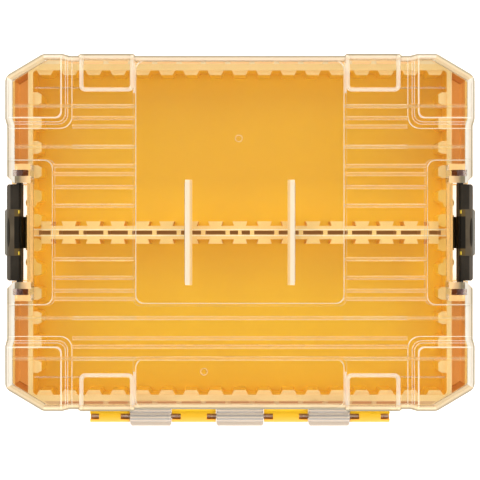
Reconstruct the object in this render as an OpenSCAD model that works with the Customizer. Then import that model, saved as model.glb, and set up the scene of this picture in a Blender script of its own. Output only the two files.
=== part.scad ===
// Case for drill and driver bits: a moulded tray, a clear hinged lid, two end latches and a
// notched rail across the middle. The case lies on its base, +X to the right, +Y away from the
// hinge and +Z up. The origin is under the middle of the closed case. All lengths are millimetres.

/* [Tray] */
// Width of the tray from end to end
tray_w = 233.2; // [220:0.2:260]
// Depth of the tray from the hinge side to the far side
tray_d = 177; // [165:0.2:200]
// Height of the tray's rim
rim_z = 28; // [24:0.5:34]
// Thickness of the tray's floor
floor_t = 2.4; // [1.6:0.1:3]
// Thickness of the outer wall on the long sides
side_wall = 1; // [0.9:0.1:1.3]
// Thickness of the outer wall at the short ends
end_wall = 1.6; // [1.4:0.1:2]
// Length along X that each corner chamfer takes off
chamfer_x = 19; // [14:0.5:22]
// Length along Y that each corner chamfer takes off
chamfer_y = 11.3; // [8:0.1:13]
// Radius that rounds the corners of the outline
corner_r = 5; // [3:0.5:7]
// Depth of the stacking recesses under the floor
stack_depth = 0.9; // [0.5:0.1:1.2]

/* [Comb notches] */
// Distance from one notch to the next
pitch = 12.45; // [11.5:0.05:12.8]
// Number of notches on each side of the middle of a long side
long_notches = 8; // [6:1:8]
// Number of notches on each side of the middle of a short side
end_notches = 6; // [4:1:6]
// Width of a tooth of the long sides at its root
tooth_root = 8.4; // [7.5:0.1:9.4]
// Width of a tooth of the long sides at its tip
tooth_tip = 5.8; // [5:0.1:6.6]
// Width of a tooth of the short ends at its root
end_tooth_root = 6.5; // [6:0.1:7.4]
// Width of a tooth of the short ends at its tip
end_tooth_tip = 4.4; // [4:0.1:5.6]
// Length of a tooth on the long sides
tooth_len = 2.3; // [1.8:0.1:3]
// Length of a tooth at the short ends
end_tooth_len = 4.2; // [3.4:0.1:4.6]
// Length of the straight foot of a tooth at the short ends
end_tooth_foot = 2.4; // [1.6:0.1:3]
// Drop from the rim to the top of the teeth
tooth_drop = 1.5; // [0.5:0.1:4]
// Thickness of the comb wall on the long sides
comb_wall = 3.3; // [2.6:0.1:3.6]
// Width of the core slots behind the comb walls
slot_w = 1.3; // [1.1:0.1:1.6]
// Length of a core slot
slot_len = 9.8; // [7:0.1:10.8]
// Depth of the core slots below the rim
slot_depth = 20; // [10:0.5:21]

/* [End pockets] */
// Width of the pockets at the short ends
pocket_w = 6.8; // [5:0.1:7.2]
// Distance from the middle of the end to the start of a corner pocket
pocket_start = 34.4; // [33.8:0.1:40]
// Height of the floor of the pockets
pocket_floor = 5; // [3:0.5:12]
// Width of the wall between the pockets and the comb
band_w = 2.5; // [1.8:0.1:3]
// Width of the small pocket under a latch ear, along the end
ear_pocket_len = 4.5; // [3:0.1:5]

/* [Latch recess] */
// Half the length of the recess that a latch stands in
recess_half = 24.9; // [24.7:0.1:26]
// Depth of the recess in the tray's end
tray_recess = 8.4; // [8:0.1:8.7]
// Depth of the recess in the lid's end
lid_recess = 10; // [9.7:0.1:10.5]

/* [Middle rail] */
// Height of the top of the rail
rail_top = 30; // [28:0.5:31]
// Thickness of each of the rail's two walls
rail_wall = 2.4; // [1.6:0.1:2.6]
// Width of the slots in the rail
rail_slot_w = 2; // [1.6:0.1:2.4]
// Length of the solid bridge between two slots
rail_bridge = 2.2; // [1.6:0.1:3.5]
// Width of the web that splits the middle slot of the rail
rail_web = 1.8; // [1.2:0.1:2.4]
// Length of the last slot at each end of the rail
rail_end_slot = 6.3; // [5:0.1:6.6]
// Depth of the slots in the rail
rail_slot_depth = 22; // [10:0.5:24]
// Length of the dovetail teeth on the rail
rail_tooth_len = 2.3; // [1.8:0.1:2.6]
// Width of a rail tooth at its root
rail_tooth_root = 5.9; // [5:0.1:6.4]
// Width of a rail tooth at its free end
rail_tooth_tip = 7.5; // [6.6:0.1:8]
// Width of the tongue that plugs into the end notches
tongue_w = 4.2; // [3:0.1:4.4]
// Clearance between the rail and what it plugs into
rail_gap = 0.2; // [0.1:0.05:0.4]

/* [Lid] */
// Height of the top of the lid's raised corners and pads
top_z = 50; // [46:0.5:56]
// Drop from the raised corners to the lid's main plate
plate_drop = 1; // [0.6:0.1:1.4]
// Thickness of the lid's plate
plate_t = 2; // [1.6:0.1:2.6]
// Thickness of the lid's walls
lid_wall = 1.5; // [1.3:0.1:1.8]
// Gap between the lid and the tray's rim
seat_gap = 0.2; // [0.1:0.05:0.4]
// Width of the bevel round the lid's top edge
edge_bevel = 1.6; // [1:0.1:2]
// How far the corners and pads stand out from the lid's walls
land_out = 1; // [0.5:0.1:1.2]
// Distance from the edge of a raised corner to the foot of its stand-out part
land_inset = 1.8; // [1:0.1:3]
// Length over which a corner comes to stand out
land_ramp = 3.4; // [1:0.1:5]
// Height of the raised ribs on the plate
rib_h = 0.7; // [0.4:0.1:0.9]
// Height of the ribs under the plate
under_rib_h = 0.6; // [0.4:0.1:0.8]
// Width of a rib at its foot
rib_w = 2; // [1.4:0.1:2.4]
// Width of a rib at its top
rib_top_w = 0.9; // [0.4:0.1:1.2]
// Depth of the clean panels and finger zones below the plate
panel_drop = 0.5; // [0.3:0.1:0.9]
// Width of the clean panels
panel_w = 103.8; // [90:0.2:106]
// Width of the raised bead round the panels and the finger zones
bead_w = 1.9; // [1.5:0.1:2.4]
// Height of the raised bead
bead_h = 0.5; // [0.3:0.1:0.8]
// Width of the slope at the edges of the pads
edge_slope = 0.8; // [0.3:0.1:1]
// Width of the slopes at the edges of panels, beads and raised corners
fine_slope = 0.45; // [0.3:0.05:0.7]
// Length along X of the lid's raised corners
corner_len = 33.8; // [28:0.2:36]
// Length along Y of the lid's raised corners
corner_dep = 37.7; // [34:0.1:40]
// Width of the step round a raised corner
corner_step = 5.2; // [3:0.1:6]
// Distance from the middle of the case to the middle of a square pad
pad_x = 66.7; // [64:0.1:68]
// Width of a square pad
pad_w = 28.5; // [24:0.5:29]
// Depth of a square pad from the lid's edge
pad_dep = 19.5; // [16:0.1:24]
// Width of the raised border of a square pad, at its top
pad_border = 1.6; // [1.2:0.1:3.5]
// Depth of the field inside the border of a square pad
pad_field = 1.6; // [0.6:0.1:1.8]
// Radius of a square pad's corners
pad_r = 3; // [2:0.5:4]
// Radius of the inner corner of a raised corner
corner_step_r = 6; // [4:0.5:8]

/* [Hanging bars] */
// Distance from the middle of the case to each hanging bar
bar_x = 25.9; // [22:0.1:30]
// Length of a hanging bar
bar_len = 51.2; // [40:0.2:60]
// Thickness of a hanging bar
bar_t = 3.2; // [2:0.1:3.6]
// How much a bar thickens on each side towards the lid
bar_draft = 0.3; // [0:0.1:0.5]
// Gap between the bars and the rail
bar_gap = 0.5; // [0.3:0.1:1.5]

/* [Hinge] */
// Height of the hinge's axis
hinge_z = 26; // [25:0.1:27]
// Diameter of the hinge pin
pin_d = 2.4; // [2:0.1:2.6]
// Radius of the tray's knuckles
tray_knuckle_r = 3.1; // [2.6:0.1:3.3]
// Radius of the lid's knuckles
lid_knuckle_r = 5; // [4.7:0.1:5.2]
// Bevel at the ends of the lid's knuckles
knuckle_bevel = 0.8; // [0.4:0.1:1.2]
// Gap between the lid's knuckles and the tray
knuckle_gap = 0.4; // [0.3:0.05:0.6]
// Gap between two neighbouring knuckles
knuckle_side_gap = 0.3; // [0.2:0.05:0.5]
// Radial clearance of the hinge pin in the lid's knuckles
hinge_run = 0.06; // [0.03:0.01:0.09]
// Radial clearance of the hinge pin in the tray's knuckles
hinge_hold = 0.02; // [0.01:0.01:0.05]
// Length of the opening that shows the pin at each end of a tray knuckle
knuckle_window = 4.6; // [2:0.1:5]
// Half length of the middle lid knuckle
knuckle_a = 12; // [10:0.5:14]
// Distance from the middle to the far end of an inner tray knuckle
knuckle_b = 34.8; // [30:0.2:38]
// Distance from the middle to the far end of an outer lid knuckle
knuckle_c = 56; // [50:0.5:60]
// Distance from the middle to the far end of an outer tray knuckle
knuckle_d = 76.5; // [70:0.5:80]

/* [Latches] */
// Height of the axis that the latches turn on
latch_z = 39; // [37:0.5:41]
// Diameter of the trunnions at the two ends of a latch
trunnion_d = 3.3; // [3:0.1:3.6]
// Length of a trunnion beyond the end of its latch
trunnion_len = 8.2; // [7:0.1:9]
// Radial clearance of the trunnions in the lid's ears
latch_run = 0.08; // [0.03:0.01:0.09]
// Gap between the ends of a latch and the recess
latch_end_gap = 0.6; // [0.5:0.1:1]
// How far the latch's bar stands out from its axis
bar_out = 6.3; // [5.5:0.1:6.5]
// How far the inner face of the latch's bar lies inside its axis
bar_in = 1.5; // [1:0.1:1.6]
// Thickness of the latch's plate
latch_t = 2.6; // [2:0.1:3]
// Height of the lower edge of the latch
latch_bottom = 13; // [8:0.5:15]
// Half length of the thick middle of the latch
grip_half = 11.7; // [10:0.1:13]
// Half length of the latch's hook
hook_half = 8; // [6:0.1:9]
// How far the thick middle stands out from the bar
grip_out = 1.2; // [0.6:0.1:1.4]
// Radius of the latch's outer corners, seen from above
latch_corner = 1.4; // [0.6:0.1:2]
// Height of the top of the catch on the tray
catch_z = 22; // [20:0.5:23]
// Height of the catch on the tray
catch_h = 3; // [2:0.1:4]
// How far the catch stands out from the recess
catch_out = 1.8; // [1.2:0.1:2.2]
// Gap between the hook's nose and the catch
catch_gap = 0.1; // [0.08:0.01:0.3]
// Gap between the latch and the tray's recess
latch_gap = 0.5; // [0.3:0.1:0.8]

/* [Hidden] */

smooth = 48; // sides of a drawn circle
coarse = 20; // sides of a circle in the plan of a sloped shape
cut = 1; // how far a cutting shape runs past the face that it cuts
embed = 0.5; // how far a joined shape runs into its neighbour
far_out = 20; // how far a shape that the outline trims runs past it

// Outline and its centre. The body's middle lies at body_y, because the hinge reaches further.
half_w = tray_w / 2;
half_d = tray_d / 2;
land_half_d = half_d + land_out;
hinge_y = -(half_d + knuckle_gap + lid_knuckle_r);
body_y = -(land_half_d + hinge_y - lid_knuckle_r) / 2;

// Combs, counted inwards from the outer wall
slot_y = half_d - side_wall - slot_w / 2;
comb_y = half_d - side_wall - slot_w - comb_wall;
pocket_x = half_w - end_wall - pocket_w;
comb_x = pocket_x - band_w;
comb_top = rim_z - tooth_drop;

// Latch recesses and ears
tray_recess_x = half_w - tray_recess;
lid_recess_x = half_w - lid_recess;
hook_in = 1.1; // how far the hook reaches inside the bar
latch_x = tray_recess_x + latch_gap + bar_in + hook_in;
latch_half = recess_half - latch_end_gap;
ear_end = pocket_start;
ear_wall = 3.4;
ear_window_len = 3.1;
ear_window_y = recess_half + ear_wall;
ear_window_in = 5.2; // from the latch's axis, inwards
ear_window_out = 2.4; // from the latch's axis, outwards
ear_pocket_wall = 2.2;
bump_y = 15.2;
bump_r = 2.8;
bump_out = 1.4; // how far the round bumps stand out into the recess
ear_cut_x = 3; // how much of an ear's outer corner is cut away along X
ear_cut_y = 3.2; // and along Y
pad_ramp = 1; // length over which a pad comes to stand out
stack_gap = 0.5; // clearance round a pad in the stacking recess of the case above
stack_edge = 2; // width of the wall outside a stacking recess
catch_slope = 2.4;
catch_half = hook_half + 1; // half the length of the catch

// Latch sections, measured from the latch's axis
bar_rise = 1.2; // how far the bar's top stands above its round part
bar_round = 2; // radius of the bar's outer top edge
bar_foot = 5; // how far the bar ends above the latch's lower edge
grip_rise = 1.6;
grip_bend = 14; // where the finger hollow starts
grip_waist = 17; // where the finger hollow is deepest
hook_top = 3.6;
hook_drop = 3.2; // how far the nose reaches below the catch
hook_pad = 1.5; // how far the pad reaches above the catch
back_drop = 4; // how far the back web reaches below the axis

// Lid
plate_z = top_z - plate_drop;
seat_z = rim_z + seat_gap;
// The four steps of a raised corner: how far in, and how high, as shares of the whole
corner_steps = [[0, 0.28], [0.4, 0.42], [0.62, 0.56], [1, 1]];
step_sink = 0.05; // how far a step runs into the one below
panel_half = panel_w / 2;
panel_r = 4;
zone_len = 22.5;
zone_half = 35.9;
far_margin = 3; // from the upper clean panel to the far side
near_margin = 1; // from the lower clean panel to the hinge side
label_y0 = -63.7;
label_y1 = -35.3;

// Rows of ribs, as distances from the middle line of the lid
inner_rows = [13.4, 22.7, 29.2, 33.3];
outer_rows = [53, 57.2];
full_rows = [42.9, 63.2];
corner_row = 72.5;
corner_row_x = 79;
corner_row_len = 24;

function mirrored(list) = concat(list, [for (v = list) -v]);

// ---- Shared shapes ----

// Outline of the case with its chamfered corners, grown or shrunk by a distance
module outline(hw, hd, r = corner_r) {
    offset(r = r, $fn = smooth)
    offset(delta = -r)
    polygon([
        [hw - chamfer_x, hd], [-hw + chamfer_x, hd], [-hw, hd - chamfer_y], [-hw, -hd + chamfer_y],
        [-hw + chamfer_x, -hd], [hw - chamfer_x, -hd], [hw, -hd + chamfer_y], [hw, hd - chamfer_y]
    ]);
}

// A block with that outline and a bevel round its top edge
module bevelled_block(hw, hd, z0, z1, bevel) {
    hull() {
        translate([0, 0, z0]) linear_extrude(z1 - bevel - z0) outline(hw, hd);
        translate([0, 0, z0]) linear_extrude(z1 - z0) outline(hw - bevel, hd - bevel);
    }
}

// A rectangle with round corners
module round_rect(x0, y0, x1, y1, r, sides = smooth) {
    translate([x0 + r, y0]) square([x1 - x0 - 2 * r, y1 - y0]);
    translate([x0, y0 + r]) square([x1 - x0, y1 - y0 - 2 * r]);
    for (x = [x0 + r, x1 - r], y = [y0 + r, y1 - r]) translate([x, y]) circle(r, $fn = sides);
}

// A block over a rectangle with round corners, whose sides lean out by a distance towards the top
module sloped_rect(x0, y0, x1, y1, r, z0, z1, lean) {
    w = x1 - x0;
    d = y1 - y0;
    translate([(x0 + x1) / 2, (y0 + y1) / 2, z0])
        linear_extrude(z1 - z0, scale = [(w + 2 * lean) / w, (d + 2 * lean) / d])
            round_rect(-w / 2, -d / 2, w / 2, d / 2, r, coarse);
}

// A box given by its lowest and highest corners
module box(lo, hi) {
    translate(lo) cube(hi - lo);
}

// A shape and its mirror images across the X axis, the Y axis or both
module both_x() {
    children();
    mirror([1, 0, 0]) children();
}
module both_y() {
    children();
    mirror([0, 1, 0]) children();
}
module all_corners() {
    both_x() both_y() children();
}

// A tooth that points along +Y, rooted at the origin, with a straight foot before it narrows
module tooth(root, tip, len, z0, z1, foot = 0) {
    translate([0, 0, z0]) linear_extrude(z1 - z0)
        polygon([[-root / 2, -embed], [root / 2, -embed], [root / 2, foot], [tip / 2, len],
                 [-tip / 2, len], [-root / 2, foot]]);
}

// The parts of the plan where the corners stand out from the walls, run on past the outline
module corner_bumpers() {
    x0 = half_w + land_out - corner_len + land_inset;
    y0 = land_half_d - corner_dep + land_inset;
    all_corners() polygon([[x0, y0], [half_w, y0], [half_w + land_out, y0 + land_ramp],
                           [half_w + far_out, y0 + land_ramp], [half_w + far_out, half_d + far_out],
                           [x0 + land_ramp, half_d + far_out], [x0 + land_ramp, land_half_d], [x0, half_d]]);
}

// The parts of the plan where the square pads stand out from a long side, run on in the same way
module pad_bumper() {
    x0 = pad_x - pad_w / 2;
    x1 = pad_x + pad_w / 2;
    both_x() polygon([[x0, 0], [x1, 0], [x1, half_d], [x1 - pad_ramp, land_half_d],
                      [x1 - pad_ramp, half_d + far_out], [x0 + pad_ramp, half_d + far_out],
                      [x0 + pad_ramp, land_half_d], [x0, half_d]]);
}

// All the parts that stand out. The tray has none beside the hinge but at its corners.
module bumpers(at_hinge = true) {
    corner_bumpers();
    pad_bumper();
    if (at_hinge) mirror([0, 1, 0]) pad_bumper();
}

// The plan of the case with its parts that stand out
module whole_plan(at_hinge = true) {
    outline(half_w, half_d);
    intersection() {
        outline(half_w + land_out, land_half_d);
        bumpers(at_hinge);
    }
}

// That plan drawn in by a wall's thickness
module inner_plan(wall) {
    offset(delta = -wall) whole_plan();
}

// ---- Tray ----

module tray_teeth() {
    both_y() for (k = [-long_notches:long_notches])
        translate([k * pitch, comb_y, 0]) rotate(180)
            tooth(tooth_root, tooth_tip, tooth_len, floor_t - embed, comb_top);
    both_x() for (k = [-end_notches:end_notches - 1])
        translate([comb_x, (k + 0.5) * pitch, 0]) rotate(90)
            tooth(end_tooth_root, end_tooth_tip, end_tooth_len, floor_t - embed, comb_top, end_tooth_foot);
}

module tray_slots() {
    both_y() for (k = [-long_notches + 1:long_notches - 1])
        translate([k * pitch, slot_y, rim_z - slot_depth / 2 + cut / 2])
            cube([slot_len, slot_w, slot_depth + cut], center = true);
}

module tray_pockets() {
    translate([0, 0, pocket_floor]) linear_extrude(rim_z)
        all_corners() intersection() {
            inner_plan(end_wall);
            translate([pocket_x, pocket_start]) square([pocket_w, half_d]);
        }
    all_corners() box([pocket_x, recess_half + ear_pocket_wall, pocket_floor],
                      [pocket_x + pocket_w, recess_half + ear_pocket_wall + ear_pocket_len, rim_z + cut]);
}

// The knuckles between two distances from the middle, on the tray
module tray_knuckle(x0, x1) {
    difference() {
        translate([x0, hinge_y, hinge_z]) rotate([90, 0, 90]) linear_extrude(x1 - x0) {
            circle(tray_knuckle_r, $fn = smooth);
            translate([0, -tray_knuckle_r])
                square([-hinge_y - half_d + embed, tray_knuckle_r + rim_z - hinge_z - 0.2]);
        }
        for (x = [x0 - cut, x1 - knuckle_window])
            box([x, hinge_y - pin_d * 0.62, hinge_z - pin_d * 0.3],
                [x + knuckle_window + cut, hinge_y + pin_d * 0.62, hinge_z + tray_knuckle_r + cut]);
    }
}

module tray_catch() {
    translate([tray_recess_x - embed, catch_half, 0]) rotate([90, 0, 0])
        linear_extrude(2 * catch_half)
            polygon([[0, catch_z - catch_h - catch_slope], [0, catch_z], [catch_out + embed, catch_z],
                     [catch_out + embed, catch_z - catch_h]]);
    both_y() translate([tray_recess_x - bump_r + bump_out, bump_y, floor_t + pocket_floor])
        cylinder(r = bump_r, h = rim_z - floor_t - pocket_floor - cut, $fn = smooth);
}

module base_tray() {
    color("orange") translate([0, body_y, 0]) difference() {
        union() {
            difference() {
                linear_extrude(rim_z) whole_plan(at_hinge = false);
                translate([0, 0, floor_t]) linear_extrude(rim_z)
                    round_rect(-comb_x, -comb_y, comb_x, comb_y, 2);
                tray_slots();
                tray_pockets();
                both_x() box([tray_recess_x, -recess_half, -cut], [half_w + cut, recess_half, rim_z + cut]);
            }
            intersection() {
                tray_teeth();
                box([-half_w, -half_d, 0], [half_w, half_d, rim_z]);
            }
            both_x() tray_catch();
            both_x() tray_knuckle(knuckle_a + knuckle_side_gap, knuckle_b);
            both_x() tray_knuckle(knuckle_c + knuckle_side_gap, knuckle_d);
        }
        translate([-half_w, hinge_y, hinge_z]) rotate([0, 90, 0])
            cylinder(d = pin_d + 2 * hinge_hold, h = tray_w, $fn = smooth);
        translate([0, 0, -cut]) linear_extrude(stack_depth + cut)
            all_corners() round_rect(pad_x - pad_w / 2 - stack_gap, half_d - pad_dep - stack_gap,
                                     pad_x + pad_w / 2 + stack_gap, half_d - stack_edge, pad_r);
    }
}

// ---- Middle rail ----

module centre_divider() {
    body_half = rail_slot_w / 2 + rail_wall;
    tip_x = comb_x - end_tooth_len - rail_gap;
    end_x = comb_x - rail_gap;
    height = rail_top - floor_t;
    color("goldenrod") translate([0, body_y, floor_t]) difference() {
        union() {
            box([-tip_x, -body_half, 0], [tip_x, body_half, height]);
            box([-end_x, -tongue_w / 2, 0], [end_x, tongue_w / 2, comb_top - floor_t]);
            intersection() {
                both_y() for (k = [-long_notches:long_notches])
                    translate([k * pitch, body_half, 0])
                        tooth(rail_tooth_root, rail_tooth_tip, rail_tooth_len, 0, height);
                box([-tip_x, -tip_x, 0], [tip_x, tip_x, height]);
            }
        }
        difference() {
            for (k = [-long_notches:long_notches])
                translate([k * pitch, 0, height - rail_slot_depth / 2 + cut / 2])
                    cube([abs(k) == long_notches ? rail_end_slot : pitch - rail_bridge, rail_slot_w,
                          rail_slot_depth + cut], center = true);
            box([-rail_web / 2, -rail_slot_w, 0], [rail_web / 2, rail_slot_w, height + 2 * cut]);
        }
    }
}

// ---- Lid ----

// One step of a raised corner, whose inner edges are drawn in by a distance
module raised_corner(inset, r, z0, z1, lean) {
    sloped_rect(half_w + land_out - corner_len + inset, land_half_d - corner_dep + inset,
                half_w + far_out, half_d + far_out, r, z0, z1, -lean);
}

// A raised corner with all its steps, each standing on the one before
module raised_steps() {
    last = len(corner_steps) - 1;
    for (i = [0:last]) {
        foot = i == 0 ? 0 : corner_steps[i - 1][1];
        raised_corner(corner_step * corner_steps[i][0], corner_step_r * (1 - corner_steps[i][0] / 2),
                      plate_z + plate_drop * foot - step_sink, plate_z + plate_drop * corner_steps[i][1],
                      i == last ? edge_slope : fine_slope);
    }
}

module raised_pad() {
    sloped_rect(pad_x - pad_w / 2, land_half_d - pad_dep, pad_x + pad_w / 2, half_d + far_out, pad_r,
                plate_z - plate_t, top_z, -edge_slope);
}

module lid_outside() {
    intersection() {
        union() {
            bevelled_block(half_w, half_d, seat_z, top_z, edge_bevel);
            intersection() {
                bevelled_block(half_w + land_out, land_half_d, seat_z, top_z, edge_bevel);
                linear_extrude(top_z) bumpers();
            }
        }
        union() {
            box([-tray_w, -tray_w, 0], [tray_w, tray_w, plate_z]);
            all_corners() {
                raised_pad();
                raised_steps();
            }
        }
    }
}

// A raised rib along X between two places
module rib(x0, x1, y) {
    translate([x0, y, plate_z]) rotate([90, 0, 90]) linear_extrude(x1 - x0)
        polygon([[-rib_w / 2, -plate_t / 2], [rib_w / 2, -plate_t / 2], [rib_w / 2, 0],
                 [rib_top_w / 2, rib_h], [-rib_top_w / 2, rib_h], [-rib_w / 2, 0]]);
}

module lid_ribs() {
    zone_x = half_w - zone_len;
    corner_x = half_w + land_out - corner_len;
    both_x() {
        for (y = mirrored(inner_rows)) rib(panel_half, zone_x, y);
        for (y = mirrored(outer_rows)) rib(panel_half, corner_x, y);
        for (y = mirrored(full_rows)) rib(panel_half, corner_x, y);
    }
}

// A rib along X under the plate between two places
module under_rib(x0, x1, y) {
    box([x0, y - rib_top_w / 2, plate_z - plate_t - under_rib_h],
        [x1, y + rib_top_w / 2, plate_z - plate_t + embed]);
}

// The ribs under the plate, which run on to the ends of the lid
module under_ribs() {
    all_corners() {
        for (y = full_rows) under_rib(panel_half, half_w - embed, y);
        under_rib(corner_row_x, corner_row_x + corner_row_len, corner_row);
    }
}

// The ribs that cross the band between the two clean panels
module band_ribs() {
    for (y = concat(outer_rows, full_rows)) rib(-panel_half - 1, panel_half + 1, -y);
}

// The three clean panels and the two finger zones, grown by a distance
module panel_fields(grow, z0, z1, lean) {
    sloped_rect(-panel_half - grow, label_y1 - grow, panel_half + grow, half_d - far_margin + grow,
                panel_r, z0, z1, lean);
    sloped_rect(-panel_half - grow, -half_d + near_margin - grow, panel_half + grow, label_y0 + grow,
                panel_r, z0, z1, lean);
    both_x() sloped_rect(half_w - zone_len - grow, -zone_half - grow / 2,
                         half_w + far_out, zone_half + grow / 2, panel_r, z0, z1, lean);
}

module lid_beads() {
    panel_fields(bead_w, plate_z - plate_t / 2, plate_z + bead_h, -fine_slope);
}

module lid_panels() {
    panel_fields(0, plate_z - panel_drop, top_z + cut, fine_slope * (top_z + cut - plate_z + panel_drop));
    all_corners() sloped_rect(pad_x - pad_w / 2 + pad_border + 1, land_half_d - pad_dep + pad_border + 1,
                              pad_x + pad_w / 2 - pad_border - 1, half_d + far_out, pad_r / 2,
                              top_z - pad_field, top_z + cut, 1 + cut / pad_field);
}

module lid_cavity() {
    difference() {
        translate([0, 0, rim_z - cut]) linear_extrude(plate_z - plate_t - rim_z + cut)
            inner_plan(lid_wall);
        both_x() box([lid_recess_x - lid_wall, -recess_half - lid_wall, 0],
                     [half_w, recess_half + lid_wall, top_z]);
        all_corners() box([lid_recess_x - lid_wall, recess_half, 0], [half_w, ear_end, top_z]);
    }
}

module hanging_bars() {
    both_x() sloped_rect(bar_x - bar_t / 2, -bar_len / 2, bar_x + bar_t / 2, bar_len / 2, bar_t / 2 - 0.1,
                         rail_top + bar_gap, plate_z - plate_t + 0.2, bar_draft);
}

module lid_knuckle(x0, x1) {
    len = x1 - x0;
    end_r = lid_knuckle_r - knuckle_bevel;
    translate([x0, hinge_y, hinge_z]) {
        rotate([0, 90, 0]) {
            cylinder(r1 = end_r, r2 = lid_knuckle_r, h = knuckle_bevel, $fn = smooth);
            translate([0, 0, knuckle_bevel])
                cylinder(r = lid_knuckle_r, h = len - 2 * knuckle_bevel, $fn = smooth);
            translate([0, 0, len - knuckle_bevel])
                cylinder(r1 = lid_knuckle_r, r2 = end_r, h = knuckle_bevel, $fn = smooth);
        }
        rotate([90, 0, 90]) linear_extrude(len) {
            square([lid_knuckle_r, end_r]);
            translate([lid_knuckle_r - embed, seat_z - hinge_z])
                square([-hinge_y - half_d - lid_knuckle_r + embed + lid_wall / 2, end_r - seat_z + hinge_z]);
        }
    }
}

module lid() {
    color("whitesmoke", 0.4) translate([0, body_y, 0]) difference() {
        union() {
            difference() {
                union() {
                    lid_outside();
                    intersection() {
                        union() {
                            lid_ribs();
                            lid_beads();
                        }
                        bevelled_block(half_w, half_d, seat_z, plate_z + rib_h, edge_bevel);
                    }
                }
                lid_panels();
                lid_cavity();
                both_x() box([lid_recess_x, -recess_half, 0], [half_w + 2 * cut, recess_half, top_z + cut]);
                all_corners() linear_extrude(top_z + cut)
                    polygon([[half_w - ear_cut_x, recess_half - cut], [half_w + cut, recess_half - cut],
                             [half_w + cut, recess_half + ear_cut_y], [half_w, recess_half + ear_cut_y],
                             [half_w - ear_cut_x, recess_half]]);
                all_corners() box([latch_x - ear_window_in, ear_window_y, 0],
                                  [latch_x + ear_window_out, ear_window_y + ear_window_len, top_z + cut]);
            }
            hanging_bars();
            under_ribs();
            intersection() {
                band_ribs();
                box([-half_w, label_y0 - 1, 0], [half_w, label_y1 + 1, top_z]);
            }
            lid_knuckle(-knuckle_a, knuckle_a);
            both_x() lid_knuckle(knuckle_b + knuckle_side_gap, knuckle_c);
        }
        translate([-half_w, hinge_y, hinge_z]) rotate([0, 90, 0])
            cylinder(r = pin_d / 2 + hinge_run, h = tray_w, $fn = smooth);
        both_x() translate([latch_x, ear_end - 1, latch_z]) rotate([90, 0, 0])
            cylinder(r = trunnion_d / 2 + latch_run, h = 2 * (ear_end - 1), $fn = smooth);
    }
}

module hinge_pin() {
    color("silver") translate([-knuckle_d + 0.5, body_y + hinge_y, hinge_z]) rotate([0, 90, 0])
        cylinder(d = pin_d, h = 2 * knuckle_d - 1, $fn = smooth);
}

// ---- Latches ----

// Section of the latch's bar, with its axis at the origin: X outwards, Y up
module bar_section() {
    foot = latch_bottom + bar_foot - latch_z;
    top = bar_in + bar_rise;
    circle(bar_in, $fn = smooth);
    translate([0, -bar_in]) square([bar_out - bar_round / 2, bar_in + top]);
    translate([bar_out - latch_t, foot]) square([latch_t, top - bar_round / 2 - foot]);
    translate([bar_out - bar_round, top - bar_round]) circle(bar_round, $fn = smooth);
    translate([-bar_in, -back_drop]) square([bar_in, back_drop]);
}

// Section of the thick middle of the latch
module grip_section() {
    top = bar_in + grip_rise;
    foot = latch_bottom - latch_z;
    front = bar_out + grip_out;
    back = bar_out - latch_t;
    polygon([[0, top], [front - 2 * grip_out, top], [front, top - 2 * grip_out], [front, -grip_bend],
             [front - grip_out, -grip_waist], [front, foot], [back, foot],
             [back - embed, -grip_bend], [0, -back_drop]]);
}

// Section of the hook, whose nose stands beside the catch
module hook_section() {
    nose_x = tray_recess_x + catch_out + catch_gap - latch_x;
    nose_z = catch_z - catch_h - hook_drop - latch_z;
    back_x = tray_recess_x + latch_gap - latch_x;
    pad_z = catch_z + hook_pad - latch_z;
    join_x = bar_out - latch_t + embed;
    polygon([[back_x, -hook_top], [back_x, pad_z], [nose_x, pad_z], [nose_x, nose_z + hook_pad],
             [nose_x + hook_pad, nose_z], [join_x, nose_z], [join_x, -hook_top]]);
}

// A block along Y whose section is given, with its two outer corners rounded in plan
module rounded_length(half, out, r) {
    intersection() {
        linear_extrude(2 * half, center = true) children();
        rotate([90, 0, 0]) linear_extrude(2 * latch_z, center = true)
            round_rect(-out, -half, out, half, r);
    }
}

module latch() {
    translate([latch_x, body_y, latch_z]) rotate([90, 0, 0]) {
        rounded_length(latch_half, bar_out, latch_corner) bar_section();
        rounded_length(grip_half, bar_out + grip_out, latch_corner) grip_section();
        linear_extrude(2 * hook_half, center = true) hook_section();
        linear_extrude(2 * (latch_half + trunnion_len), center = true) circle(d = trunnion_d, $fn = smooth);
    }
}

module latch_right() {
    color("dimgray") latch();
}

module latch_left() {
    color("dimgray") mirror([1, 0, 0]) latch();
}

base_tray();
centre_divider();
lid();
hinge_pin();
latch_left();
latch_right();
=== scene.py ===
import math

import bpy
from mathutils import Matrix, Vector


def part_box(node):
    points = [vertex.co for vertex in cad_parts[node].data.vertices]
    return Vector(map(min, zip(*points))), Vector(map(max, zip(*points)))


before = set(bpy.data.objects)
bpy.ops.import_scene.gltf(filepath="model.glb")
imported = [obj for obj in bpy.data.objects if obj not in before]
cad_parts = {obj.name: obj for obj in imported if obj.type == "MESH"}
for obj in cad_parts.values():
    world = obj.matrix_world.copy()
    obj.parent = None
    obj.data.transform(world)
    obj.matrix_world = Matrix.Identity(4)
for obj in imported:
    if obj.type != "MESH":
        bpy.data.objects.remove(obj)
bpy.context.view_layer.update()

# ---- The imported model, the latches' bevel and the camera, in metres where no other unit is given ----
MM = 0.001
TOP_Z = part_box("lid")[1][2]
RIM_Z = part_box("base_tray")[1][2]
LATCH_BEVEL = 0.3 * MM
BEVEL_ANGLE = 35                # degrees that an edge turns by before it is rounded
CAMERA_X = 0.05 * MM
CAMERA_Y = 0.90 * MM
CAMERA_HEIGHT = 1.0             # above the lid's top
SENSOR_MM = 36.0
IMAGE_PX = 480
PX_PER_M = 2000.0               # scale of the picture at the height of the lid's top

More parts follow.
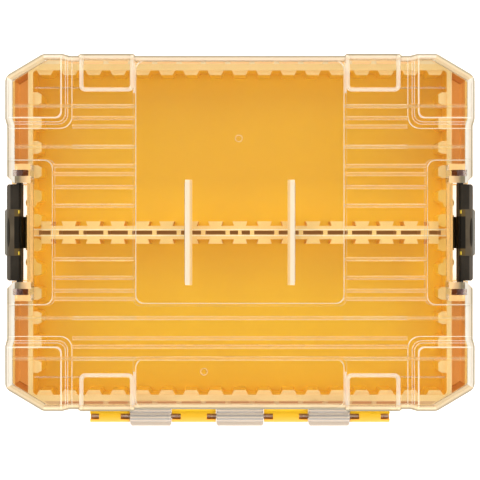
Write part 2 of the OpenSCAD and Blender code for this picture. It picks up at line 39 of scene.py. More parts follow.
# ---- Places that the materials use, in millimetres ----
# X and Y are counted from the middle of the case, and Z from the surface that the case lies on. Both halves
# of the case are alike, so most places are distances from its middle. A pair is a stretch, or the two places
# where a change starts and ends.
BODY_Y = 4.7                    # the middle of the case without its hinge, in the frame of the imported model
MIDDLE_Y = (-1.0, 1.0)          # where the colours of the hinge side turn into those of the far side
ACROSS_CHAMFER = (0.511, 0.8595)    # the direction straight across the chamfer of a corner
PLATE_Z = TOP_Z / MM - 1.0      # the lid's plate, below its raised borders

# The tray and the rail
TRAY_BODY_Y = (-89.9, 95.0)     # all but the knuckles
KNUCKLE_SHADE_Y = (-92.0, -95.5)
YELLOW_SHIFT_Y = (-75.0, 42.0)
OUTER_FACE_X = 116.2            # just inside the outer faces of the tray's walls
OUTER_FACE_Y = 88.1
OUTER_FACE_CHAMFER = 125.2
RIM_FADE_Z = (25.6, 26.4)
BELOW_RIM_Z = (RIM_Z / MM - 0.1, RIM_Z / MM - 1.2)
HOLLOW_Z = (1.2, 30.0)          # the heights that slots and pockets reach
LATCH_RIM_X = (95.0, 120.0)     # the rim beside a latch
LATCH_RIM_Y = (25.0, 22.0)
SLOT_Y = (86.1, 87.6)
POCKET_X = (108.1, 116.2)
POCKET_Y = (26.2, 86.0)
POCKET_DEPTH_Z = (5.0, 20.0)
POCKET_FAR_Y = (60.0, 82.0)
WINDOW_Y = 34.5                 # the part of a pocket that shows in the windows of the lid's ears
CAVITY_X = 107.5
CAVITY_Y = 86.0
END_GLOW_X = (84.0, 102.0)
LATCH_GLOW_X = (76.0, 96.0)
LATCH_GLOW_Y = (44.0, 20.0)
FAR_GLOW_Y = (60.0, 80.0)
HINGE_GLOW_Y = (-64.0, -80.0)
RAIL_FAR_Y = (0.0, 35.0)        # the strips of the tray beside the rail, and where the light fades on them
RAIL_FAR_GLOW_Y = (34.5, 9.0)
RAIL_NEAR_Y = (-22.0, 0.0)
RAIL_NEAR_GLOW_Y = (-20.0, -7.0)
RAIL_SLOT_X = 102.8
RAIL_SLOT_Y = 1.1
RAIL_LINE_Y = (1.3, 1.8)        # the painted highlight lines beside the rail's slots

# The lid's outline: its ends step out at the corners, and its long sides at the corners and the pads
LID_END_X = (116.6, 117.6)
LID_END_STEP_Y = (53.6, 57.0)
LID_SIDE_Y = 88.5
LID_SIDE_STEP_X = (85.6, 89.0)
LID_SIDE_PAD_X = (52.9, 80.5)
LID_STEP = 1.0
LID_CHAMFER = 127.33
OUTLINE_DEPTH = (0.75, 1.05)    # depths in from the outline
WALL_DEPTH = (3.9, 3.6)
SIDE_WALL_SHIFT = 1.4           # how much nearer to the outline the wall's band ends on the long sides
WALL_FOOT_DEPTH = (2.65, 2.95)
INNER_DEPTH = (1.9, 2.3)

# The lid's plate, with its pads, ribs, ears, bars and knuckles
TOP_FADE_Z = (PLATE_Z - 2.6, PLATE_Z - 2.0)
UNDER_Z = (PLATE_Z - 2.8, PLATE_Z - 2.1)
PAD_X = 66.7                    # the middle of a pad
PAD_FLAT_X = 11.6
PAD_FLAT_Y = (71.7, 87.0)
PAD_LEG_X = (11.2, 14.3)
PAD_LEG_Y = (69.9, 88.5)
PAD_BAR_Y = (69.7, 71.9)
PAD_FADE_Z = (PLATE_Z + 0.15, PLATE_Z + 0.35)
RIB_HALF = 1.05
INNER_RIB_ROWS = (13.4, 22.7, 29.2, 33.3)
OUTER_RIB_ROWS = (53.0, 57.2)
FULL_RIB_ROWS = (42.9, 63.2)
INNER_RIB_X = (52.6, 93.9)
OUTER_RIB_X = (52.6, 83.6)
FULL_RIB_X = (52.6, 114.0)
BAND_X = 53.0                   # the band between the two clean panels
BAND_Y = (-66.0, 0.0)
EAR_FADE_X = (104.6, 104.9)
EAR_Y = (31.3, 34.4)
EAR_END_Y = (24.8, 28.4)
EAR_END_SHADE_X = (106.5, 111.0)
GATES = ((-0.5, 47.1), (-18.0, -69.8))      # where the plastic was let into the mould
GATE_RING = (1.5, 1.85)
RECESS_X = (103.6, 107.2)
RECESS_Y = 24.8
RECESS_Z = (0.0, PLATE_Z - 0.3)
BAR_X = (23.9, 27.5)
BAR_INNER_X = (23.9, 25.2)
BAR_Y = 26.4
BAR_Z = (30.6, 46.8)            # from a bar's foot to the plate
MIDDLE_KNUCKLE_X = 12.0
OUTER_KNUCKLE_X = (35.1, 56.0)
KNUCKLE_Y = (-110.0, -86.2)
KNUCKLE_Z = (0.0, 31.5)
KNUCKLE_UNDERSIDE_Z = (0.0, 25.0)
KNUCKLE_EDGE_Y = (-95.0, -97.0)
# Where the painted stripes on the clear knuckles start, and their pitch.
STRIPE_START_Y = -92.9
STRIPE_PITCH = 1.75

# The pin and the latches
# The pitch of the painted reflection stripes along the pin.
PIN_STRIPE_PITCH = 0.8
GRIP_Y = 11.8                   # half of a latch's thick middle
LATCH_EDGES_X = ((109.7, 110.4), (115.7, 117.2))
LENS_X = 116.7                  # the middle of the dark lens on a latch
LENS_HALF_X = 0.9
LENS_HALF_Y = 7.5
LENS_FADE = (1.1, 0.8)          # how the lens fades at its edge, where lens_shape is 1
GRIP_FACE_X = (117.5, 118.6)
HOOK_X = (100.0, 113.7)
HOOK_Y = 8.1
HOOK_END_X = (111.0, 113.6)
HOOK_END_Y = (8.1, 11.6)
GLINT_X = (111.1, 111.7)
GLINT_Y = (9.6, 11.2)
TRUNNION_Y = (28.0, 32.0)

# ---- Strengths: from clear (0) to painted white (1) on the lid, and of the light in the yellow plastic ----
SLOPE_UP = (0.99, 0.86)         # how far up a face looks while it turns from a flat into a slope
SLOPE_WHITE = 0.75
PAD_SLOPE_SHARE = 0.35
RIB_SLOPE_SHARE = 0.30
RIB_WHITE = 0.09
PAD_WHITE = 0.45
EAR_WHITE = 0.60
RING_WHITE = 0.15
RECESS_WHITE = 0.28
WALL_WHITE = 0.60
EDGE_WALL = (0.0, 0.3)          # the white of the wall's band over which the colours of the edge come in
OUTLINE_WHITE = 0.95
BAR_WHITE = (0.90, 0.40)        # at its foot and at the plate
UNDER_UP = (0.5, 0.9)
UNDER_WHITE = 0.22
STRIPE_WHITE = (0.45, 0.80)      # in the dark and on the pale painted stripes of a knuckle
KNUCKLE_EDGE_WHITE = 0.85

YELLOW_SHIFT = 0.75             # how far the yellow turns from YELLOW_FAR into YELLOW_NEAR towards the hinge, as painted light
YELLOW_PATCHES = 0.25           # and how much further in soft patches
RIM_HIGHLIGHT_COVER = 0.85                # how much the rim's painted highlight covers the yellow
PLASTIC_LIGHT = 0.06
RIM_LIGHT = 0.20
SLOT_LIGHT = 0.45
POCKET_LIGHT = (0.24, 0.10)     # at the pocket's floor and near its rim
POCKET_FAR_LIGHT = 0.07
WINDOW_LIGHT_SHARE = 0.4
END_LIGHT = 0.10
LATCH_LIGHT = 0.19
FAR_LIGHT = 0.11
HINGE_LIGHT = 0.04
RAIL_FAR_LIGHT = 0.245
RAIL_NEAR_LIGHT = (0.06, 0.12)
GLOW_TURN = (0.0, 0.15)         # strengths over which the light's colour turns from the plastic's into GLOW
BAR_LIGHT = 0.08

# ---- Colours ----
# The lighter yellow on the hinge side is painted light.
YELLOW_FAR = (0.87, 0.465, 0.005)
YELLOW_NEAR = (0.985, 0.585, 0.008)
# Darker copies of the yellow: painted shade on the outer faces and towards the knuckles' ends.
YELLOW_OUTSIDE_SHADE = (0.72, 0.345, 0.005)
YELLOW_KNUCKLE_SHADE = (0.90, 0.40, 0.02)
# Painted highlight on the tops of the tray's rim, and its more yellow form beside a latch.
PEACH_HIGHLIGHT = (0.95, 0.66, 0.33)
LATCH_RIM_HIGHLIGHT = (0.97, 0.62, 0.18)
# Painted shade in the deep slots along the tray's rim, darker on the hinge side.
SLOT_SHADE_NEAR = (0.56, 0.32, 0.14)
SLOT_SHADE_FAR = (0.74, 0.56, 0.31)
# Painted shade in the deep end pockets, darker where they show in the windows of the lid's ears.
POCKET_SHADE = (0.78, 0.43, 0.085)
WINDOW_POCKET_SHADE = (0.45, 0.18, 0.065)
GLOW = (0.85, 0.62, 0.02)
# Painted highlights on the rail's top and beside its slots, and painted shade in its slots.
RAIL_TOP_HIGHLIGHT = (0.97, 0.67, 0.25)
RAIL_LINE_HIGHLIGHT = (1.0, 0.86, 0.60)
RAIL_SLOT_SHADE = (0.34, 0.15, 0.02)

CLEAR = (0.99, 0.985, 0.975)
# Apart from the gate ring, the lid's colours down to the bars are painted highlights and painted shade, for
# the light that the clear plastic bends and reflects.
LINE_DARK = (0.60, 0.44, 0.22)
LINE_PALE = (0.68, 0.53, 0.30)
RING = (0.62, 0.44, 0.20)
RIB = (0.94, 0.82, 0.50)
EAR = (0.93, 0.56, 0.22)
EAR_END_INNER = (0.93, 0.61, 0.30)
EAR_END_OUTER = (0.22, 0.18, 0.11)
# Painted highlights in the wall bands, and painted dark lines at the foot and the outline.
EDGE = (0.70, 0.64, 0.53)
EDGE_INNER = (0.78, 0.76, 0.67)
EDGE_HINGE_SIDE = (0.90, 0.70, 0.44)
EDGE_FAR_SIDE = (0.82, 0.68, 0.51)
EDGE_CORNER = (0.68, 0.53, 0.32)
WALL_FOOT = (0.50, 0.32, 0.15)
OUTLINE = (0.26, 0.22, 0.14)
# Painted highlight under the plate, and the painted amber of the yellow tray seen through the recesses.
UNDER = (0.80, 0.52, 0.20)
RECESS = (0.97, 0.70, 0.30)
# Painted stripes on the knuckles, and painted shade at their outer edge and underneath.
KNUCKLE_DARK_STRIPE = (0.27, 0.19, 0.10)
KNUCKLE_PALE_STRIPE = (0.74, 0.57, 0.38)
KNUCKLE_EDGE_SHADE = (0.35, 0.24, 0.14)
KNUCKLE_UNDERSIDE_SHADE = (0.36, 0.27, 0.18)
# Painted highlights on the bars, more yellow on their inner halves.
BAR = (0.97, 0.87, 0.70)
BAR_INNER = (0.90, 0.66, 0.32)

# Painted reflection of the yellow plastic: dark stripes along the pin, and a warm tint in the steel's grey.
STEEL_REFLECTED_STRIPE = (0.33, 0.17, 0.075)
STEEL = (0.60, 0.50, 0.42)
LATCH_BLACK = ((0.020, 0.016, 0.011), (0.030, 0.024, 0.017))     # fresh and worn
# The grip's thick middle is painted paler than the rest as painted light; fresh and worn.
GRIP_LIT_BLACK = ((0.060, 0.046, 0.029), (0.095, 0.073, 0.047))
# Painted highlight along the latch's edges.
LATCH_EDGE_HIGHLIGHT = (0.075, 0.062, 0.048)
LENS = (0.012, 0.009, 0.004)
# Painted highlight on the grip's outer face.
GRIP_FACE_HIGHLIGHT = (0.15, 0.14, 0.115)
HOOK_END = (0.085, 0.055, 0.018)
GLINT = (0.70, 0.52, 0.05)
TRUNNION = (0.20, 0.12, 0.11)
# Painted shade in the hollow between the hook and the latch's body.
HOOK_HOLLOW_SHADE = (0.009, 0.007, 0.004)
FLOOR_WHITE = (0.93, 0.93, 0.93)
WHITE = (1.0, 1.0, 1.0)


# ---- Materials ----

class Nodes:
    """Adds shader nodes to a new material and joins them.

    Places are in millimetres. The scale of a noise counts its patches in a metre.
    """

    def __init__(self, name):
        self.mat = bpy.data.materials.new(name)
        self.mat.use_nodes = True
        self.tree = self.mat.node_tree
        self.bsdf = self.tree.nodes["Principled BSDF"]
        texture = self.tree.nodes.new("ShaderNodeTexCoord")
        self.coords = texture.outputs["Object"]
        in_mm = self.node("ShaderNodeVectorMath", {0: self.coords, "Scale": 1 / MM}, operation="SCALE")
        self.x, y, self.z = self.split(in_mm.outputs["Vector"])
        self.y = self.math("SUBTRACT", y, BODY_Y)
        self.side_x = self.math("ABSOLUTE", self.x)
        self.side_y = self.math("ABSOLUTE", self.y)
        self.up = self.math("ABSOLUTE", self.split(texture.outputs["Normal"])[2])

    def node(self, kind, inputs=None, **settings):
        made = self.tree.nodes.new(kind)
        for key, value in settings.items():
            setattr(made, key, value)
        for key, value in (inputs or {}).items():
            self.feed(made.inputs[key], value)
        return made

    def feed(self, socket, value):
        if isinstance(value, bpy.types.NodeSocket):
            self.tree.links.new(value, socket)
        elif socket.type == "RGBA":
            socket.default_value = (*value, 1.0)
        else:
            socket.default_value = value

    def split(self, vector):
        return self.node("ShaderNodeSeparateXYZ", {"Vector": vector}).outputs[:]

    def math(self, operation, *values):
        return self.node("ShaderNodeMath", dict(enumerate(values)), operation=operation).outputs[0]

    def between(self, value, stretch):
        """1 where a value lies in a stretch, else 0."""
        lo, hi = stretch
        return self.math("COMPARE", value, (lo + hi) / 2, (hi - lo) / 2)

    def within(self, value, reach):
        """1 where a value lies no further than a reach from 0, else 0."""
        return self.math("COMPARE", value, 0.0, reach)

    def both(self, *masks):
        """The product of masks and strengths."""
        made = masks[0]
        for mask in masks[1:]:
            made = self.math("MULTIPLY", made, mask)
        return made

    def either(self, *masks):
        """The strongest of masks and strengths."""
        made = masks[0]
        for mask in masks[1:]:
            made = self.math("MAXIMUM", made, mask)
        return made

    def outside(self, mask):
        return self.math("SUBTRACT", 1.0, mask)

    def ramp(self, value, stretch, results=(0.0, 1.0)):
        """Goes from one result to another while a value goes through a stretch."""
        ends = {"From Min": stretch[0], "From Max": stretch[1], "To Min": results[0], "To Max": results[1]}
        return self.node("ShaderNodeMapRange", {"Value": value, **ends}).outputs["Result"]

    def dim(self, mask, share):
        """1 outside a mask, and a share of it inside."""
        return self.ramp(mask, (0.0, 1.0), (1.0, share))

    def waves(self, value, pitch, start=0.0):
        """Goes up and down between 0 and 1 once in each pitch."""
        turns = self.math("MULTIPLY", self.math("SUBTRACT", value, start), 2 * math.pi / pitch)
        return self.ramp(self.math("SINE", turns), (-1.0, 1.0))

    def noise(self, scale, detail=3.0):
        inputs = {"Vector": self.coords, "Scale": scale, "Detail": detail}
        return self.node("ShaderNodeTexNoise", inputs).outputs["Fac"]

    def mottle(self, scale, results=(0.0, 1.0), stretch=(0.3, 0.7)):
        """Soft patches without any order, between two results."""
        return self.ramp(self.noise(scale), stretch, results)

    def mix(self, factor, a, b):
        made = self.tree.nodes.new("ShaderNodeMix")
        made.data_type = "RGBA"
        for socket, value in ((made.inputs[0], factor), (made.inputs[6], a), (made.inputs[7], b)):
            self.feed(socket, value)
        return made.outputs[2]

    def near_far(self, near, far):
        """One colour on the hinge side and another on the far side."""
        return self.mix(self.ramp(self.y, MIDDLE_Y), near, far)

    def paint(self, colour, layers):
        """Lays colours over one another, each where its mask is 1."""
        for mask, over in layers:
            colour = self.mix(mask, colour, over)
        return colour

    def bump(self, scale, detail, strength, distance):
        height = self.noise(scale, detail)
        made = self.node("ShaderNodeBump", {"Height": height, "Strength": strength, "Distance": distance})
        self.tree.links.new(made.outputs["Normal"], self.bsdf.inputs["Normal"])

    def set(self, **values):
        for key, value in values.items():
            self.feed(self.bsdf.inputs[key.replace("_", " ")], value)


def across_chamfer(n):
    """How far out a place lies towards the chamfer of its corner."""
    share_x, share_y = ACROSS_CHAMFER
    return n.math("ADD", n.both(n.side_x, share_x), n.both(n.side_y, share_y))


# The yellow tray and rail

def inside_walls(n):
    """1 on everything but the outer faces of the tray's walls."""
    return n.both(n.within(n.x, OUTER_FACE_X), n.within(n.y, OUTER_FACE_Y),
                  n.within(across_chamfer(n), OUTER_FACE_CHAMFER))


def yellow(n):
    """The plastic's yellow with painted light and shade: lighter near the hinge, and darker on the outer
    faces and the knuckles.
    """
    patches = n.mottle(9.0, (0.0, YELLOW_PATCHES), (0.35, 0.65))
    near = n.math("ADD", n.ramp(n.y, YELLOW_SHIFT_Y, (YELLOW_SHIFT, 0.0)), patches)
    outer_faces = n.both(n.between(n.y, TRAY_BODY_Y), n.outside(inside_walls(n)))
    return n.paint(n.mix(near, YELLOW_FAR, YELLOW_NEAR), (
        (outer_faces, YELLOW_OUTSIDE_SHADE),
        (n.ramp(n.y, KNUCKLE_SHADE_Y), YELLOW_KNUCKLE_SHADE)))


def rim_highlight(n):
    """How much the rim's painted highlight covers the yellow, and 0 below the rim."""
    return n.both(n.between(n.y, TRAY_BODY_Y), n.ramp(n.z, RIM_FADE_Z, (0.0, RIM_HIGHLIGHT_COVER)))


def lit_plastic(n, rim, slots):
    """The light that comes through the plastic from the sides: most in the slots, and some at the rim."""
    return n.either(n.both(slots, SLOT_LIGHT), n.both(rim, RIM_LIGHT), PLASTIC_LIGHT)


def satin(n, base, light, strength):
    """Satin moulded plastic that gives off a little light of its own."""
    n.set(Base_Color=base, Roughness=n.mottle(90.0, (0.34, 0.46)), IOR=1.5,
          Emission_Color=light, Emission_Strength=strength)
    n.bump(scale=1500.0, detail=2.0, strength=0.10, distance=0.2 * MM)
    return n.mat


def wall_glow(n):
    """Light that gathers in the tray beside its walls and its rail, and most of all beside the latches."""
    ends = n.ramp(n.side_x, END_GLOW_X, (0.0, END_LIGHT))
    latches = n.both(n.ramp(n.side_x, LATCH_GLOW_X, (0.0, LATCH_LIGHT)), n.ramp(n.side_y, LATCH_GLOW_Y))
    far = n.ramp(n.y, FAR_GLOW_Y, (0.0, FAR_LIGHT))
    hinge = n.ramp(n.y, HINGE_GLOW_Y, (0.0, HINGE_LIGHT))
    rail_far = n.both(n.between(n.y, RAIL_FAR_Y), n.ramp(n.y, RAIL_FAR_GLOW_Y, (0.0, RAIL_FAR_LIGHT)))
    rail_near = n.both(n.between(n.y, RAIL_NEAR_Y), n.ramp(n.y, RAIL_NEAR_GLOW_Y, RAIL_NEAR_LIGHT))
    cavity = n.both(n.within(n.x, CAVITY_X), n.within(n.y, CAVITY_Y))
    return n.both(cavity, n.either(ends, latches, far, hinge, rail_far, rail_near))


def pocket_light(n, window):
    """Light in the end pockets: stronger at their floors and towards the corners, and weak in the windows."""
    depth = n.both(n.ramp(n.z, POCKET_DEPTH_Z, POCKET_LIGHT), n.dim(window, WINDOW_LIGHT_SHARE))
    return n.math("ADD", depth, n.ramp(n.side_y, POCKET_FAR_Y, (0.0, POCKET_FAR_LIGHT)))


def tray_plastic():
    """Yellow plastic with a painted peach highlight on its rim, painted shade in its end pockets and slots,
    and light in its slots.
    """
    n = Nodes("tray_plastic")
    rim, below = rim_highlight(n), n.ramp(n.z, BELOW_RIM_Z)
    hollow = n.both(below, inside_walls(n), n.between(n.z, HOLLOW_Z))
    slots = n.both(hollow, n.between(n.side_y, SLOT_Y))
    pockets = n.both(hollow, n.between(n.side_x, POCKET_X), n.between(n.side_y, POCKET_Y))
    by_latch = n.both(rim, n.between(n.side_x, LATCH_RIM_X), n.ramp(n.side_y, LATCH_RIM_Y))
    window = n.within(n.y, WINDOW_Y)
    glow = wall_glow(n)

    outer = n.paint(yellow(n), (
        # painted highlight on the rim's top
        (rim, PEACH_HIGHLIGHT),
        (by_latch, LATCH_RIM_HIGHLIGHT),
        # painted shade in the slots
        (slots, n.near_far(SLOT_SHADE_NEAR, SLOT_SHADE_FAR))))
    # Painted shade in the end pockets.
    base = n.mix(pockets, outer, n.mix(window, POCKET_SHADE, WINDOW_POCKET_SHADE))
    light = n.mix(pockets, n.mix(n.ramp(glow, GLOW_TURN), outer, GLOW), base)
    strength = n.either(lit_plastic(n, rim, slots), glow)
    return satin(n, base, light, n.math("ADD", strength, n.both(pockets, pocket_light(n, window))))


def rail_plastic():
    """Yellow plastic with a painted highlight on its top, painted highlight lines along it and painted shade
    in its brown slots.
    """
    n = Nodes("rail_plastic")
    rim = rim_highlight(n)
    slots = n.both(n.ramp(n.z, BELOW_RIM_Z), n.within(n.x, RAIL_SLOT_X), n.within(n.y, RAIL_SLOT_Y))
    base = n.paint(yellow(n), (
        (rim, RAIL_TOP_HIGHLIGHT),
        (n.both(rim, n.between(n.side_y, RAIL_LINE_Y)), RAIL_LINE_HIGHLIGHT),
        (slots, RAIL_SLOT_SHADE)))
    return satin(n, base, base, lit_plastic(n, rim, slots))


# The clear lid

def lid_outline(n):
    """How far in from the lid's outline a place lies, and whether a long side or a corner is nearest."""
    end = n.math("SUBTRACT", n.ramp(n.side_y, LID_END_STEP_Y, LID_END_X), n.side_x)
    steps = n.either(n.ramp(n.side_x, LID_SIDE_STEP_X), n.between(n.side_x, LID_SIDE_PAD_X))
    side = n.math("SUBTRACT", n.math("ADD", n.both(steps, LID_STEP), LID_SIDE_Y), n.side_y)
    corner = n.math("SUBTRACT", LID_CHAMFER, across_chamfer(n))
    end_or_corner = n.math("MINIMUM", end, corner)
    depth = n.math("MINIMUM", side, end_or_corner)
    by_side = n.math("LESS_THAN", side, end_or_corner)
    by_corner = n.math("LESS_THAN", corner, n.math("MINIMUM", end, side))
    return depth, by_side, by_corner


def from_pad(n):
    """The distance along X from the middle of the nearest pad."""
    return n.math("ABSOLUTE", n.math("SUBTRACT", n.side_x, PAD_X))


def pad_borders(n):
    """The raised borders of the four square pads."""
    across = from_pad(n)
    legs = n.both(n.between(across, PAD_LEG_X), n.between(n.side_y, PAD_LEG_Y))
    bar = n.both(n.within(across, PAD_LEG_X[1]), n.between(n.side_y, PAD_BAR_Y))
    return n.both(n.either(legs, bar), n.ramp(n.z, PAD_FADE_Z))


def lid_ribs(n):
    """The wide ribs of the lid."""

    def rows(*places):
        return n.either(*[n.between(n.side_y, (place - RIB_HALF, place + RIB_HALF)) for place in places])

    inner = n.both(rows(*INNER_RIB_ROWS), n.between(n.side_x, INNER_RIB_X))
    outer = n.both(rows(*OUTER_RIB_ROWS), n.between(n.side_x, OUTER_RIB_X))
    full = n.both(rows(*FULL_RIB_ROWS), n.between(n.side_x, FULL_RIB_X))
    band = n.both(rows(*OUTER_RIB_ROWS, *FULL_RIB_ROWS), n.within(n.x, BAND_X), n.between(n.y, BAND_Y))
    return n.either(inner, outer, full, band)


def gate_ring(n, x, y):
    """A faint ring round a gate."""
    flat = n.node("ShaderNodeCombineXYZ", {"X": n.math("SUBTRACT", n.x, x), "Y": n.math("SUBTRACT", n.y, y)})
    reach = n.node("ShaderNodeVectorMath", {0: flat.outputs[0]}, operation="LENGTH").outputs["Value"]
    return n.between(reach, GATE_RING)


def lid_slopes(n, ribs):
    """Painted highlight on the slopes of the lid's top. It is weaker in the pads and on the ribs."""
    pad_flats = n.both(n.within(from_pad(n), PAD_FLAT_X), n.between(n.side_y, PAD_FLAT_Y))
    return n.both(n.ramp(n.up, SLOPE_UP, (0.0, SLOPE_WHITE)),
                  n.dim(pad_flats, PAD_SLOPE_SHARE), n.dim(ribs, RIB_SLOPE_SHARE))


# Each function for a part of the lid gives how white the part is, where its colours show, and the layers
# that paint them.
# The white and the colours are painted highlights and painted shade, apart from the gate rings.

def lid_plate(n, top):
    """The plate, with its pads, ribs, ears and gates. Its pads, ribs and ears get painted highlights, and the
    ears' ends painted shade towards the outside.
    """
    ribs = lid_ribs(n)
    rings = n.either(*[gate_ring(n, x, y) for x, y in GATES])
    ear_ends, ears = [n.both(n.ramp(n.side_x, EAR_FADE_X), n.between(n.side_y, stretch))
                      for stretch in (EAR_END_Y, EAR_Y)]
    white = n.either(lid_slopes(n, ribs), n.both(pad_borders(n), PAD_WHITE), n.both(ribs, RIB_WHITE),
                     n.both(n.either(ear_ends, ears), EAR_WHITE), n.both(rings, RING_WHITE))
    ear_end_tint = n.mix(n.ramp(n.side_x, EAR_END_SHADE_X), EAR_END_INNER, EAR_END_OUTER)
    return n.both(top, white), n.both(top, n.either(ears, ear_ends, ribs)), (
        (rings, RING),
        (ribs, RIB),
        (n.both(top, ears), EAR),
        (n.both(top, ear_ends), ear_end_tint))


def lid_walls(n, top):
    """The walls. From above they show as bands of painted highlight along the outline, with painted dark
    lines at the outline and at the foot of the long sides.
    """
    depth, by_side, by_corner = lid_outline(n)
    wall_depth = n.math("ADD", depth, n.both(by_side, SIDE_WALL_SHIFT))
    wall = n.ramp(wall_depth, WALL_DEPTH, (0.0, WALL_WHITE))
    foot = n.both(by_side, n.between(depth, WALL_FOOT_DEPTH))
    outline = n.ramp(depth, OUTLINE_DEPTH, (OUTLINE_WHITE, 0.0))
    edge = n.both(top, n.ramp(wall, EDGE_WALL))
    return n.both(top, n.either(wall, foot, outline)), edge, (
        (edge, EDGE),
        (n.both(edge, n.outside(by_side), n.ramp(depth, INNER_DEPTH)), EDGE_INNER),
        (n.both(edge, by_side), n.near_far(EDGE_HINGE_SIDE, EDGE_FAR_SIDE)),
        (n.both(edge, by_corner), EDGE_CORNER),
        (n.both(top, foot), WALL_FOOT),
        (n.both(top, outline), OUTLINE))


def lid_hollows(n):
    """The underside of the plate, and the finger recesses beside the latches, with a painted highlight under
    the plate and the painted amber of the yellow tray seen through the recesses.
    """
    under = n.both(n.between(n.z, UNDER_Z), n.ramp(n.up, UNDER_UP, (0.0, UNDER_WHITE)))
    recess = n.both(n.between(n.side_x, RECESS_X), n.within(n.y, RECESS_Y), n.between(n.z, RECESS_Z))
    return n.either(under, n.both(recess, RECESS_WHITE)), recess, (
        (under, UNDER),
        (recess, RECESS))


def lid_knuckles(n):
    """The three knuckles of the hinge, with pale and dark painted stripes, painted shade at their outer edge
    and painted shade underneath.
    """
    along = n.either(n.within(n.x, MIDDLE_KNUCKLE_X), n.between(n.side_x, OUTER_KNUCKLE_X))
    knuckles = n.both(along, n.between(n.y, KNUCKLE_Y), n.between(n.z, KNUCKLE_Z))
    stripes = n.waves(n.y, STRIPE_PITCH, STRIPE_START_Y)
    edge = n.ramp(n.y, KNUCKLE_EDGE_Y)
    stripe_white = n.ramp(stripes, (0.0, 1.0), STRIPE_WHITE)
    white = n.both(knuckles, n.either(stripe_white, n.both(edge, KNUCKLE_EDGE_WHITE)))
    return white, white, (
        (knuckles, n.mix(edge, n.mix(stripes, KNUCKLE_DARK_STRIPE, KNUCKLE_PALE_STRIPE), KNUCKLE_EDGE_SHADE)),
        (n.both(knuckles, n.between(n.z, KNUCKLE_UNDERSIDE_Z)), KNUCKLE_UNDERSIDE_SHADE))


def lid_bars(n):
    """The two wide bars that hang from the plate. They get painted highlights, whiter at their feet and more
    yellow on their inner halves, and a little painted glow.
    """
    bars = n.both(n.between(n.side_x, BAR_X), n.within(n.y, BAR_Y))
    return n.both(bars, n.ramp(n.z, BAR_Z, BAR_WHITE)), bars, (
        (bars, BAR),
        (n.both(bars, n.between(n.side_x, BAR_INNER_X)), BAR_INNER))


def clear_plastic():
    """Clear plastic. Its edges, ribs and bars get painted highlights and painted shade, and its flats stay
    clear.
    """
    n = Nodes("clear_plastic")
    top = n.ramp(n.z, TOP_FADE_Z)
    parts = (lid_plate(n, top), lid_walls(n, top), lid_hollows(n), lid_knuckles(n), lid_bars(n))
    whites, coloured, layers = zip(*parts)
    white, bar_white = n.either(*whites), whites[-1]
    tint = n.mix(n.mottle(30.0), LINE_DARK, LINE_PALE)
    for part_layers in layers:
        tint = n.paint(tint, part_layers)
    n.set(Base_Color=n.mix(n.either(white, *coloured), CLEAR, tint), Transmission_Weight=n.outside(white),
          Roughness=n.ramp(white, (0.0, 1.0), (0.0, 0.35)), IOR=1.45,
          Emission_Color=tint, Emission_Strength=n.both(bar_white, BAR_LIGHT))
    n.bump(scale=25.0, detail=1.0, strength=0.04, distance=0.4 * MM)
    return n.mat


# The steel pin and the black latches

def pin_steel():
    """Drawn steel wire with painted stripes along its length and a warm tint, both painted reflections of the
    yellow plastic round it.
    """
    n = Nodes("pin_steel")
    n.set(Base_Color=n.mix(n.waves(n.y, PIN_STRIPE_PITCH), STEEL_REFLECTED_STRIPE, STEEL), Metallic=0.6,
          Roughness=n.mottle(300.0, (0.22, 0.38)))
    return n.mat


def lens_shape(n):
    """0 at the middle of the dark lens on a latch, and 1 at its edge."""
    across = n.math("DIVIDE", n.math("SUBTRACT", n.side_x, LENS_X), LENS_HALF_X)
    along = n.math("DIVIDE", n.y, LENS_HALF_Y)
    return n.math("ADD", n.both(across, across), n.both(along, along))


def latch_plastic():
    """Black plastic with a fine moulded grain and worn patches. Its thick middle is painted paler as painted
    light, its edges and the grip's outer face get painted highlights, and the hollow by the hook gets painted
    shade.
    """
    n = Nodes("latch_plastic")
    worn = n.mottle(120.0, stretch=(0.40, 0.75))
    grip = n.within(n.y, GRIP_Y)
    edges = n.either(*[n.between(n.side_x, stretch) for stretch in LATCH_EDGES_X])
    colour = n.paint(n.mix(grip, n.mix(worn, *LATCH_BLACK), n.mix(worn, *GRIP_LIT_BLACK)), (
        (n.both(edges, n.outside(grip)), LATCH_EDGE_HIGHLIGHT),
        (n.both(grip, n.ramp(lens_shape(n), LENS_FADE)), LENS),
        (n.between(n.side_x, GRIP_FACE_X), GRIP_FACE_HIGHLIGHT),
        (n.both(n.between(n.side_x, HOOK_END_X), n.between(n.side_y, HOOK_END_Y)), HOOK_END),
        (n.both(n.between(n.side_x, GLINT_X), n.between(n.side_y, GLINT_Y)), GLINT),
        (n.between(n.side_y, TRUNNION_Y), TRUNNION),
        (n.both(n.between(n.side_x, HOOK_X), n.within(n.y, HOOK_Y)), HOOK_HOLLOW_SHADE)))
    n.set(Base_Color=colour, Roughness=n.mottle(200.0, (0.38, 0.55)), IOR=1.4, Specular_IOR_Level=0.12)
    n.bump(scale=2200.0, detail=2.0, strength=0.2, distance=0.2 * MM)
    return n.mat


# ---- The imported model's own pieces ----

def dress(name, material, bevel=0.0):
    """Gives a CAD node its material and, where a bevel is named, rounds its edges a little."""
    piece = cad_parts[name]
    piece.data.materials.clear()
    piece.data.materials.append(material)
    if bevel:
        made = piece.modifiers.new("round_edges", "BEVEL")
        made.width = bevel
        made.segments = 2
        made.limit_method = "ANGLE"
        made.angle_limit = math.radians(BEVEL_ANGLE)
        made.use_clamp_overlap = True


def dress_case():
    dress("base_tray", tray_plastic())
    dress("centre_divider", rail_plastic())
    dress("lid", clear_plastic())
    dress("hinge_pin", pin_steel())
    black = latch_plastic()
    for latch in ("latch_left", "latch_right"):
        dress(latch, black, LATCH_BEVEL)


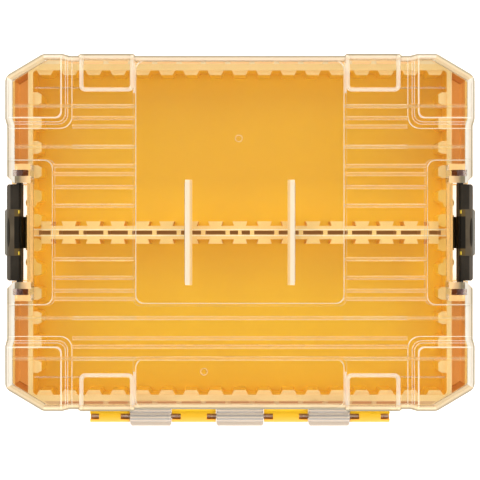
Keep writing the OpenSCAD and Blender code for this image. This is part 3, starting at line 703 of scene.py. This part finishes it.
# ---- Floor, light and camera ----

def floor(size):
    """A white floor with a weak glow of its own, so that it stays white under the case."""
    bpy.ops.mesh.primitive_plane_add(size=size, location=(0, 0, 0))
    plane = bpy.context.object
    plane.name = "floor"
    n = Nodes("floor_white")
    n.set(Base_Color=FLOOR_WHITE, Roughness=0.9, Emission_Color=WHITE, Emission_Strength=0.35)
    plane.data.materials.append(n.mat)


def light(name, place, size, power):
    """A square lamp that points at the case."""
    data = bpy.data.lights.new(name, "AREA")
    data.size = size
    data.energy = power
    lamp = bpy.data.objects.new(name, data)
    lamp.location = place
    bpy.context.collection.objects.link(lamp)
    lamp.rotation_euler = (-lamp.location).to_track_quat("-Z", "Y").to_euler()


def studio(strength, patch_up, patch_light):
    """Even white light from all round, with a darker patch overhead that keeps glare off the flats."""
    world = bpy.data.worlds.new("studio")
    world.use_nodes = True
    tree = world.node_tree
    sky = tree.nodes["Background"]
    sky.inputs["Strength"].default_value = strength
    place = tree.nodes.new("ShaderNodeTexCoord")
    axes = tree.nodes.new("ShaderNodeSeparateXYZ")
    patch = tree.nodes.new("ShaderNodeMapRange")
    tree.links.new(place.outputs["Generated"], axes.inputs["Vector"])
    tree.links.new(axes.outputs["Z"], patch.inputs["Value"])
    for key, value in zip(("From Min", "From Max", "To Min", "To Max"), (*patch_up, 1.0, patch_light)):
        patch.inputs[key].default_value = value
    tree.links.new(patch.outputs["Result"], sky.inputs["Color"])
    bpy.context.scene.world = world


def camera():
    """Looks straight down on the case, as the photograph does."""
    data = bpy.data.cameras.new("camera")
    data.sensor_width = SENSOR_MM
    data.lens = SENSOR_MM * CAMERA_HEIGHT * PX_PER_M / IMAGE_PX
    cam = bpy.data.objects.new("camera", data)
    cam.location = (CAMERA_X, CAMERA_Y, TOP_Z + CAMERA_HEIGHT)
    bpy.context.collection.objects.link(cam)
    bpy.context.scene.camera = cam


dress_case()
floor(size=8)
light("key", place=(-0.6, 0.6, 1.2), size=0.8, power=6.0)
light("fill", place=(0.8, -0.3, 1.0), size=0.8, power=3.0)
studio(strength=1.6, patch_up=(0.86, 0.97), patch_light=0.15)
bpy.context.scene.view_settings.view_transform = "Standard"
camera()
